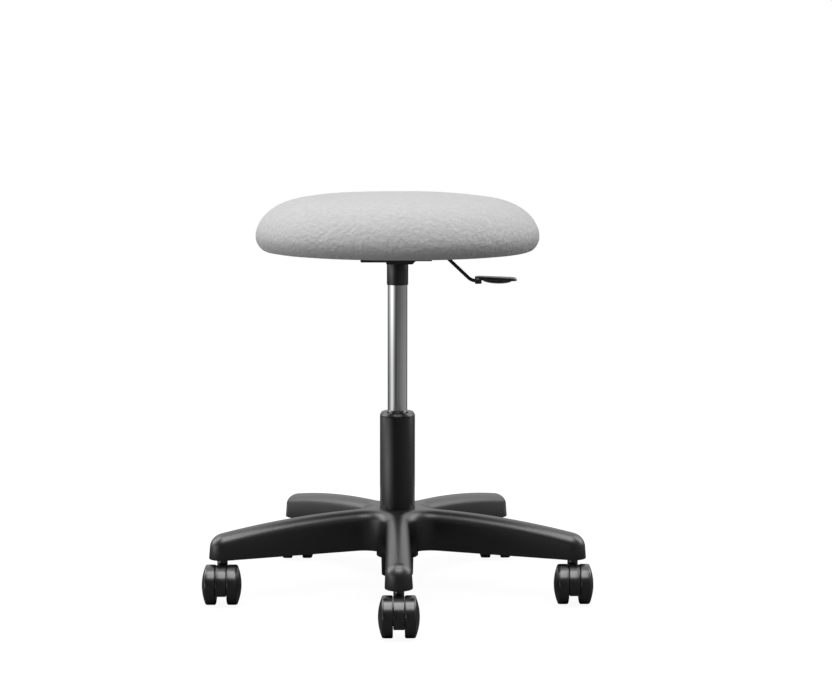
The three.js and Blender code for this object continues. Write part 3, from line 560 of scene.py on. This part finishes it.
def caster_wheel():
    bore_share, dome_steps = 0.72, 14
    bore, bore_depth = 3.35 * mm, wheel_width * bore_share
    recess = lip_radius + 0.4 * mm
    tread_chamfer, wheel_edge = 1.3 * mm, 0.6 * mm
    dome_depth, dome_inset = 5.5 * mm, 0.9 * mm
    dome_rim = wheel_width - dome_depth
    tread_end, shoulder, shoulder_inset = dome_rim - 2.6 * mm, dome_rim - 1.2 * mm, 0.25 * mm
    dome = [(share * (wheel_radius - dome_inset), wheel_width - dome_depth * share ** 2)
            for share in (1 - step / dome_steps for step in range(dome_steps + 1))]
    wheel = spun("wheel", [
        (0, bore_depth), (bore, bore_depth), (bore, lip_depth), (recess, lip_depth), (recess, 0),
        (wheel_radius - tread_chamfer, 0), (wheel_radius, tread_chamfer), (wheel_radius, tread_end),
        (wheel_radius - shoulder_inset, shoulder), *dome,
    ])
    return smooth(rounded(wheel, wheel_edge, 3, 25), 40)


body_model, wheel_model = caster_body(), caster_wheel()
caster_plastic = moulded_black("moulded_plastic", plastic_fine_grain, plastic_depth, *plastic_roughness)
for number, turn in enumerate(caster_turns, 1):
    stem = Vector((caster_circle * math.cos(turn), axis_y + caster_circle * math.sin(turn), 0))
    finished(copied(body_model, f"caster_centre_{number}", stem), caster_plastic,
             "black_plastic", f"caster_{number}", f"caster_body_{number}")
    for side, name in ((-1, "left"), (1, "right")):
        hub = stem + Vector((side * wheel_gap, caster_trail, wheel_radius))
        finished(copied(wheel_model, f"{name}_roller_{number}", hub, (0, side * math.pi / 2, 0)),
                 caster_plastic, "black_plastic", f"{name}_wheel_{number}", f"wheel_{name}_{number}")
bpy.data.objects.remove(body_model)
bpy.data.objects.remove(wheel_model)


# Column outer tube: 50 mm steel tube in a satin black coat, straight above the hub and tapered
# to a wedge inside it, with its rims broken.
def coat_finish():
    material, tree, shader = new_finish("black_coat")
    shader.inputs["Specular IOR Level"].default_value = 0.95
    orange_peel, peel_depth, roughness = 1.6 * mm, 0.02 * mm, (0.26, 0.33)
    darkest, palest = (0.003, 0.003, 0.003), (0.005, 0.005, 0.005)
    patches = plastic_grain(tree, shader, orange_peel, peel_depth, *roughness)
    tinted(tree, shader, patches.outputs["Fac"], darkest, palest)
    return material


black_coat = coat_finish()
hub_top = 117 * mm
column_radius, column_wall = 25 * mm, 1.8 * mm
column_foot, column_top = 19.6 * mm, 250.8 * mm
column_edge, column_taper = 0.5 * mm, math.radians(1.44)
foot_radius = column_radius - (hub_top - column_foot) * math.tan(column_taper)
on_axis = (0, axis_y, 0)
outer_tube = spun("outer_tube", [
    (foot_radius - column_wall, column_foot), (foot_radius, column_foot), (column_radius, hub_top),
    (column_radius, column_top), (column_radius - column_wall, column_top),
    (column_radius - column_wall, hub_top), (foot_radius - column_wall, column_foot),
], 128)
smooth(settled(rounded(outer_tube, column_edge, 2), on_axis))
finished(outer_tube, black_coat, "black_steel", "base", "column_outer_tube")


# Guide bush: the moulded black sleeve that the chrome tube slides in, pressed into the outer
# tube. Its bevelled cap lies on the tube's rim and has a wider mouth round the chrome.
fit = 0.3 * mm
cap_foot, cap_top = column_top + fit, column_top + 5.6 * mm
cap_rim, cap_bevel, cap_dish, cap_edge = 0.8 * mm, 2.4 * mm, 0.8 * mm, 0.45 * mm
bush_bore, bush_sleeve, bush_foot = 14.35 * mm, column_radius - column_wall - fit, column_top - 70 * mm
mouth_radius, mouth_foot = 15.5 * mm, cap_top - 6 * mm
guide_bush = spun("bush", [
    (bush_bore, bush_foot), (bush_sleeve, bush_foot), (bush_sleeve, cap_foot),
    (column_radius, cap_foot), (column_radius, cap_foot + cap_rim),
    (column_radius - cap_bevel, cap_top), (mouth_radius, cap_top - cap_dish),
    (mouth_radius, mouth_foot), (bush_bore, mouth_foot - (mouth_radius - bush_bore)),
    (bush_bore, bush_foot),
], 128)
smooth(settled(rounded(guide_bush, cap_edge, 3, 20), on_axis))
finished(guide_bush, black_coat, "black_plastic", "base", "guide_bush")


# Pressure tube: the gas spring's 28 mm steel tube, chromed and polished, with a long taper at
# the top that the seat plate's socket grips and a rolled-in foot.
def chrome_finish():
    material, tree, shader = new_finish("polished_chrome")
    shader.inputs["Metallic"].default_value = 1.0
    shader.inputs["Base Color"].default_value = (0.76, 0.765, 0.775, 1)
    wipe_width, wipe_squeeze, roughness = 0.5 * mm, 0.02, (0.05, 0.11)
    place = tree.nodes.new("ShaderNodeTexCoord")
    stretch = node_in(tree, "ShaderNodeMapping", Scale=(1, 1, wipe_squeeze))
    wipes = node_in(tree, "ShaderNodeTexNoise", Scale=1 / wipe_width, Detail=4.0)
    tree.links.new(place.outputs["Object"], stretch.inputs["Vector"])
    tree.links.new(stretch.outputs["Vector"], wipes.inputs["Vector"])
    roughened(tree, shader, wipes.outputs["Fac"], *roughness)
    return material


spring_low, spring_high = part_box("pressure_tube")
spring_top = spring_high.z
chrome_radius, chrome_wall = 14 * mm, 1.5 * mm
cone_length, cone_inset = 34 * mm, 0.8 * mm
cone_radius = chrome_radius - cone_inset
top_opening, top_thickness, foot_lip, chrome_edge = 8 * mm, 3 * mm, 1.5 * mm, 0.5 * mm
chrome_bore = chrome_radius - chrome_wall
chrome_tube = spun("chrome_tube", [
    (chrome_bore - foot_lip, spring_low.z), (chrome_radius, spring_low.z),
    (chrome_radius, spring_top - cone_length), (cone_radius, spring_top), (top_opening, spring_top),
    (top_opening, spring_top - top_thickness), (cone_radius - chrome_wall, spring_top - top_thickness),
    (chrome_bore, spring_top - cone_length), (chrome_bore, spring_low.z + foot_lip),
    (chrome_bore - foot_lip, spring_low.z + foot_lip), (chrome_bore - foot_lip, spring_low.z),
], 128)
smooth(settled(rounded(chrome_tube, chrome_edge, 3), on_axis))
finished(chrome_tube, chrome_finish(), "chrome", "seat", "pressure_tube")


# Seat plate and its collar: a pressed steel pan with a screwed flange, its edges rolled by the
# press, and the turned socket welded into it. Both have the tube's satin black coat.
def rolled_copy(node, name, edge_radius):
    fresh()
    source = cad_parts[node]
    piece = source.copy()
    piece.data = source.data.copy()
    bpy.context.scene.collection.objects.link(piece)
    piece.parent = None
    for key in list(piece.keys()):
        del piece[key]
    piece.name = piece.data.name = name
    edit(piece)
    weld(point_gap)
    bpy.ops.mesh.dissolve_limited(angle_limit=math.radians(1))
    bpy.ops.object.mode_set(mode="OBJECT")
    choose(piece)
    bpy.ops.mesh.customdata_custom_splitnormals_clear()
    return smooth(rounded(piece, edge_radius), 40)


point_gap, plate_edge = 0.005 * mm, 0.8 * mm
seat_plate = rolled_copy("seat_plate", "pressed_plate", plate_edge)
finished(seat_plate, black_coat, "black_steel", "seat", "seat_plate")
collar_low, collar_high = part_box("plate_socket")
collar_radius, collar_edge = 15.2 * mm, 0.3 * mm
collar_mouth, collar_seat = chrome_radius + fit, cone_radius + fit
collar = spun("collar", [
    (collar_mouth, collar_low.z), (collar_radius, collar_low.z), (collar_radius, collar_high.z),
    (collar_seat, collar_high.z), (collar_seat, spring_top), (collar_mouth, spring_top - cone_length),
    (collar_mouth, collar_low.z),
], 128)
smooth(settled(rounded(collar, collar_edge, 2), on_axis))
finished(collar, black_coat, "black_steel", "seat", "plate_socket")


# Lever: one bent steel wire under the satin coat, with a moulded paddle pushed over its end and
# a flanged plastic bush in the pan's wall where it rocks.
lever_height = 480.5 * mm
rod_radius, rod_edge = 2.5 * mm, 0.5 * mm
rod_start, rod_end = -6 * mm, 118.5 * mm
upper_bend, lower_bend, bend_run, bend_margin = 66 * mm, 105 * mm, 5.5 * mm, 1 * mm
lower_height = 443.9 * mm
paddle_left = 109.8 * mm


def lever_rod():
    rod = drawn("bent_rod", [(rod_start, 0, lever_height), (upper_bend, 0, lever_height),
                             (lower_bend, 0, lower_height), (rod_end, 0, lower_height)])
    pick(rod, "verts", lambda vert: upper_bend - bend_margin < vert.co.x < lower_bend + bend_margin)
    bpy.ops.mesh.bevel(offset=bend_run, segments=8, affect="VERTICES", profile=0.5)
    bpy.ops.object.mode_set(mode="OBJECT")
    bpy.ops.object.convert(target="CURVE")
    rod = bpy.context.object
    rod.data.bevel_depth = rod_radius
    rod.data.bevel_resolution = 7
    rod.data.use_fill_caps = True
    bpy.ops.object.convert(target="MESH")
    rod = bpy.context.object
    edit(rod)
    weld()
    bpy.ops.object.mode_set(mode="OBJECT")
    return smooth(settled(rounded(rod, rod_edge, 2, 60), on_axis), 50)


def lever_paddle():
    half_width, thickness, length, rise = 15 * mm, 4.4 * mm, 58.8 * mm, 6.6 * mm
    corner, crown, crown_step, paddle_edge = 8 * mm, 1.1 * mm, 2.6 * mm, 0.8 * mm
    belly_half_length, belly_half_width, belly_depth = 21.4 * mm, 9 * mm, 5.2 * mm
    belly_share, belly_drop, belly_overlap = 0.53, 0.2 * mm, 1.6 * mm
    sleeve_radius, sleeve_length, sleeve_edge, bore_overrun = 4.7 * mm, 9.3 * mm, 0.5 * mm, 3 * mm
    tilt = math.radians(2)
    fall = length / 2 * math.tan(tilt)
    middle = paddle_left + length / 2
    middle_top = lower_height + rise - fall
    paddle = round_bar("paddle", corner, -thickness / 2, thickness / 2 - crown, 64)
    edit(paddle)
    for axis, reach in enumerate((length / 2 - corner, half_width - corner)):
        for side in (-1, 1):
            pick(paddle, "verts", lambda vert: side * vert.co[axis] > near)
            bpy.ops.transform.translate(value=[side * reach * (index == axis) for index in range(3)])
    pick(paddle, "faces", lambda face: face.normal.z > 0.9)
    for lift_share in (0.55, 0.3, 0.15):
        bpy.ops.mesh.inset(thickness=crown_step)
        bpy.ops.transform.translate(value=(0, 0, lift_share * crown))
    bpy.ops.object.mode_set(mode="OBJECT")
    rounded(paddle, paddle_edge, 3, 40)
    settled(paddle, (middle, 0, middle_top - thickness / 2), (0, tilt, 0))
    fresh()
    bpy.ops.mesh.primitive_uv_sphere_add(segments=48, ring_count=24, radius=1)
    belly = bpy.context.object
    belly.scale = (belly_half_length, belly_half_width, belly_depth)
    belly.location = (paddle_left + belly_share * length, 0, middle_top - thickness - belly_drop)
    belly.rotation_euler = (0, tilt, 0)
    bpy.ops.object.transform_apply(location=True, rotation=True, scale=True)
    edit(belly)
    bpy.ops.mesh.select_all(action="SELECT")
    roof = middle_top - thickness + belly_overlap
    bpy.ops.mesh.bisect(plane_co=(0, 0, roof), plane_no=(0, 0, 1), use_fill=True, clear_outer=True)
    weld()
    bpy.ops.object.mode_set(mode="OBJECT")
    sleeve = rounded(round_bar("sleeve", sleeve_radius, 0, sleeve_length, 48), sleeve_edge, 2)
    settled(sleeve, (paddle_left, 0, lower_height), (0, math.pi / 2, 0))
    merged(merged(paddle, belly), sleeve)
    # The three forms become one skin, and smoothing gives them a moulding's soft joins.
    modified(paddle, "REMESH", mode="VOXEL", voxel_size=0.55 * mm, use_smooth_shade=True)
    modified(paddle, "SMOOTH", factor=0.5, iterations=5)
    bore = round_bar("bore", rod_radius + fit, -bore_overrun, sleeve_length - fit, 48)
    settled(bore, (paddle_left, 0, lower_height), (0, math.pi / 2, 0))
    merged(paddle, bore, "DIFFERENCE")
    return smooth(settled(paddle, on_axis), 50)


finished(lever_rod(), black_coat, "black_steel", "lever", "lever_rod")
finished(lever_paddle(), caster_plastic, "black_plastic", "lever", "lever_paddle")
rock_bore, bush_radius, bush_flange = rod_radius + 0.35 * mm, 4 * mm, 5.5 * mm
pan_side, bush_tail, flange_back, flange_face = 47 * mm, -1.8 * mm, 1.3 * mm, 2.3 * mm
bush_edge = 0.25 * mm
lever_bush = spun("flanged_bush", [
    (rock_bore, bush_tail), (bush_radius, bush_tail), (bush_radius, flange_back),
    (bush_flange, flange_back), (bush_flange, flange_face), (rock_bore, flange_face),
    (rock_bore, bush_tail),
], 48)
rounded(lever_bush, bush_edge, 2)
smooth(settled(lever_bush, (pan_side, axis_y, lever_height), (0, math.pi / 2, 0)))
finished(lever_bush, caster_plastic, "black_plastic", "seat", "lever_bush")


# Seat cushion: foam moulded over the board, under light grey wool felt that is drawn tight from
# the crown down over the rim and turned in below. It starts with a lower crown, is blown up as
# cloth on a held flat underside, and is then cut out for the board.
seat_radius = 200.5 * mm
rim_height = 504.4 * mm
rim_drop, rim_tuck = 17.1 * mm, 13.7 * mm
shoulder_rise, dome_rise = 57.9 * mm, 5 * mm
board_radius, board_bottom, board_top = 180 * mm, 490.3 * mm, 502.3 * mm
turn_in_radius = 152 * mm
turn_in_bottom = board_bottom - 1.8 * mm
tuck_power, side_power, edge_power = 0.79, 5.88, 0.582
tuck_steps, crown_steps = 14, 40
slack_radius, slack_drop, slack_shoulder, slack_dome = 0.4 * mm, 2.5 * mm, 2.2 * mm, 1.8 * mm


def cushion_outline(slack):
    radius, drop = seat_radius + slack * slack_radius, rim_drop + slack * slack_drop
    shoulder, dome = shoulder_rise - slack * slack_shoulder, dome_rise - slack * slack_dome
    angles = [math.pi / 2 * (1 - step / tuck_steps) for step in range(tuck_steps)]
    tucks = [(radius - rim_tuck * (1 - math.cos(angle)) ** tuck_power,
              rim_height - drop * math.sin(angle)) for angle in angles]
    shares = [math.sin(math.pi / 2 * (1 - step / crown_steps)) for step in range(crown_steps + 1)]
    crown = [(radius * share, rim_height + (shoulder + dome * (1 - share ** 2))
              * (1 - share ** side_power) ** edge_power) for share in shares]
    return [*tucks, *crown]


def felt_finish():
    material, tree, shader = new_finish("wool_felt")
    shader.inputs["Specular IOR Level"].default_value = 0.2
    shader.inputs["Sheen Weight"].default_value = 0.5
    shader.inputs["Sheen Roughness"].default_value = 0.6
    shader.inputs["Roughness"].default_value = 0.95
    cloud_size, fibre_size, nap_depth, pile_depth = 6 * mm, 1.6 * mm, 2.1 * mm, 0.6 * mm
    darker_felt, paler_felt = (0.56, 0.56, 0.565), (0.73, 0.73, 0.735)
    place = tree.nodes.new("ShaderNodeTexCoord")
    clouds = node_in(tree, "ShaderNodeTexNoise", Scale=1 / cloud_size, Detail=3.0, Roughness=0.6)
    fibres = node_in(tree, "ShaderNodeTexNoise", Scale=1 / fibre_size, Detail=5.0, Roughness=0.7,
                     Distortion=1.4)
    for source in (clouds, fibres):
        tree.links.new(place.outputs["Object"], source.inputs["Vector"])
    blend = maths(tree, "ADD", maths(tree, "MULTIPLY", clouds.outputs["Fac"], 0.5),
                  maths(tree, "MULTIPLY", fibres.outputs["Fac"], 0.5))
    tinted(tree, shader, blend, darker_felt, paler_felt)
    nap = node_in(tree, "ShaderNodeBump", Strength=1.0, Distance=nap_depth)
    pile = node_in(tree, "ShaderNodeBump", Strength=0.6, Distance=pile_depth)
    tree.links.new(clouds.outputs["Fac"], nap.inputs["Height"])
    tree.links.new(fibres.outputs["Fac"], pile.inputs["Height"])
    tree.links.new(nap.outputs["Normal"], pile.inputs["Normal"])
    tree.links.new(pile.outputs["Normal"], shader.inputs["Normal"])
    return material


def blown_up(piece, most):
    held_top, frames = board_bottom + 1 * mm, 20
    unevenness, hollow_size, still = 0.15, 45 * mm, 0.001 * mm
    held = piece.vertex_groups.new(name="held")
    held.add([vert.index for vert in piece.data.vertices
              if vert.co.z < held_top and math.hypot(vert.co.x, vert.co.y) < board_radius],
             1.0, "REPLACE")
    before = [vert.co.copy() for vert in piece.data.vertices]
    choose(piece)
    bpy.ops.object.modifier_add(type="CLOTH")
    cloth = piece.modifiers[-1]
    cloth.settings.quality = 4
    cloth.settings.tension_stiffness = cloth.settings.compression_stiffness = 200
    cloth.settings.bending_stiffness = 50
    cloth.settings.vertex_group_mass = "held"
    cloth.settings.use_pressure = True
    cloth.settings.uniform_pressure_force = 4.0
    cloth.settings.effector_weights.gravity = 0.0
    cloth.point_cache.frame_start, cloth.point_cache.frame_end = 1, frames
    scene = bpy.context.scene
    for frame_number in range(1, frames + 1):
        scene.frame_set(frame_number)
    bpy.ops.object.modifier_apply(modifier=cloth.name)
    scene.frame_set(1)
    for vert, start in zip(piece.data.vertices, before):
        motion = (vert.co - start) * (1 + unevenness * noise.noise(start / hollow_size))
        vert.co = start + motion * min(1, most / max(motion.length, still))
    piece.vertex_groups.clear()


def seat_cushion():
    slack = 1
    voxel, most_swell, room_foot = 4.5 * mm, 4 * mm, 470 * mm
    room_radius, room_bottom, room_top = board_radius + fit, board_bottom - fit, board_top + fit
    cushion = spun("cushion", [
        (0, turn_in_bottom), (board_radius, turn_in_bottom), *cushion_outline(slack),
    ], 120)
    modified(cushion, "REMESH", mode="VOXEL", voxel_size=voxel)
    modified(cushion, "SMOOTH", factor=0.5, iterations=6)
    blown_up(cushion, most_swell)
    modified(cushion, "SUBSURF", levels=1, render_levels=1)
    settled(cushion, on_axis)
    board_room = spun("board_room", [
        (0, room_foot), (turn_in_radius, room_foot), (turn_in_radius, room_bottom),
        (room_radius, room_bottom), (room_radius, room_top), (0, room_top),
    ], 96)
    merged(cushion, settled(board_room, on_axis), "DIFFERENCE")
    return smooth(cushion, 60)


cushion = seat_cushion()
finished(cushion, felt_finish(), "grey_cloth", "seat", "seat_cover", "foam_pad")


# Underside: the black nonwoven cloth that finishes the board, and the four plate screws, pan
# heads with a hex socket in bright zinc. Tee nuts in the plywood board take them.
def metal_finish(name, colour, rough_low, rough_high):
    material, tree, shader = new_finish(name)
    shader.inputs["Metallic"].default_value = 1.0
    wear_size, dulled = 2.5 * mm, 0.82
    place = tree.nodes.new("ShaderNodeTexCoord")
    wear = node_in(tree, "ShaderNodeTexNoise", Scale=1 / wear_size, Detail=5.0)
    tree.links.new(place.outputs["Object"], wear.inputs["Vector"])
    roughened(tree, shader, wear.outputs["Fac"], rough_low, rough_high)
    tinted(tree, shader, wear.outputs["Fac"], [tone * dulled for tone in colour], colour)
    return material


def nonwoven_finish():
    material, tree, shader = new_finish("black_nonwoven")
    shader.inputs["Roughness"].default_value = 0.9
    shader.inputs["Specular IOR Level"].default_value = 0.2
    cell_size, thread_size, cell_depth = 1.8 * mm, 0.7 * mm, 0.15 * mm
    darkest, palest = (0.012, 0.012, 0.012), (0.03, 0.03, 0.03)
    place = tree.nodes.new("ShaderNodeTexCoord")
    cells = node_in(tree, "ShaderNodeTexVoronoi", Scale=1 / cell_size)
    threads = node_in(tree, "ShaderNodeTexNoise", Scale=1 / thread_size, Detail=4.0, Distortion=2.0)
    for source in (cells, threads):
        tree.links.new(place.outputs["Object"], source.inputs["Vector"])
    bump = node_in(tree, "ShaderNodeBump", Strength=0.6, Distance=cell_depth)
    tree.links.new(cells.outputs["Distance"], bump.inputs["Height"])
    tree.links.new(bump.outputs["Normal"], shader.inputs["Normal"])
    tinted(tree, shader, threads.outputs["Fac"], darkest, palest)
    return material


def plywood_finish():
    material, tree, shader = new_finish("birch_plywood")
    shader.inputs["Roughness"].default_value = 0.6
    ply_scale, late_wood, early_wood = 1 / (9 * mm), (0.32, 0.20, 0.10), (0.58, 0.42, 0.24)
    place = tree.nodes.new("ShaderNodeTexCoord")
    plies = node_in(tree, "ShaderNodeTexWave", Scale=ply_scale, Distortion=2.5, Detail=3.0)
    plies.bands_direction = "Z"
    tree.links.new(place.outputs["Object"], plies.inputs["Vector"])
    tinted(tree, shader, plies.outputs["Fac"], late_wood, early_wood)
    return material


def repainted(material, *names):
    for name in names:
        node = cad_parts[name]
        node.data.materials.clear()
        node.data.materials.append(material)


def plate_screw():
    # The screw stands head down, and the head's crown is chamfered in two steps.
    head_top, head_height, tip = 486.6 * mm, 3.2 * mm, 502 * mm
    head_radius, step_radius, crown_radius, shank_radius = 5.5 * mm, 5.1 * mm, 3.5 * mm, 3 * mm
    lower_share, upper_share, screw_edge = 0.7, 0.3, 0.3 * mm
    socket_corner, socket_overrun, socket_end = 2.3 * mm, 1 * mm, head_top - 1.2 * mm
    head_foot = head_top - head_height
    screw = spun("screw", [
        (0, head_foot), (crown_radius, head_foot), (step_radius, head_top - lower_share * head_height),
        (head_radius, head_top - upper_share * head_height), (head_radius, head_top),
        (shank_radius, head_top), (shank_radius, tip), (0, tip),
    ], 48)
    rounded(screw, screw_edge, 2, 50)
    socket = round_bar("socket", socket_corner, head_foot - socket_overrun, socket_end, 6)
    return smooth(merged(screw, socket, "DIFFERENCE"))


zinc = metal_finish("bright_zinc", colour=(0.55, 0.56, 0.58), rough_low=0.25, rough_high=0.42)
screw_model = plate_screw()
screw_reach = 64 * mm
for number, (x, y) in enumerate([(-1, -1), (1, -1), (1, 1), (-1, 1)], 1):
    screw = copied(screw_model, f"pan_screw_{number}", (x * screw_reach, axis_y + y * screw_reach, 0))
    finished(screw, zinc, "plain_steel", "seat", f"plate_screw_{number}")
bpy.data.objects.remove(screw_model)
repainted(zinc, *[f"tee_nut_{number}" for number in range(1, 5)])
repainted(nonwoven_finish(), "underside_cloth")
repainted(plywood_finish(), "seat_board")


# Inside the column and the castors: the gas spring's rod, piston and seals, the thrust bearing
# and clip at the column's foot, and the castors' steel stems and axles, as the CAD has them.
def rubber_finish():
    material, tree, shader = new_finish("seal_rubber")
    grain_size, grain_depth, roughness = 0.3 * mm, 0.02 * mm, (0.65, 0.8)
    darkest, palest = (0.012, 0.012, 0.012), (0.02, 0.02, 0.02)
    patches = plastic_grain(tree, shader, grain_size, grain_depth, *roughness)
    tinted(tree, shader, patches.outputs["Fac"], darkest, palest)
    return material


bare_steel = metal_finish("bare_steel", colour=(0.42, 0.42, 0.43), rough_low=0.2, rough_high=0.36)
repainted(bare_steel, "foot_plate", "lower_race", "upper_race", "ball_cage", "tip_washer",
          "retaining_clip", "piston_rod", "release_pin")
for number in range(1, arm_count + 1):
    repainted(bare_steel, f"caster_stem_{number}", f"caster_axle_{number}")
repainted(rubber_finish(), "rubber_bumper", "rod_seal")
repainted(caster_plastic, "piston", "valve_body")
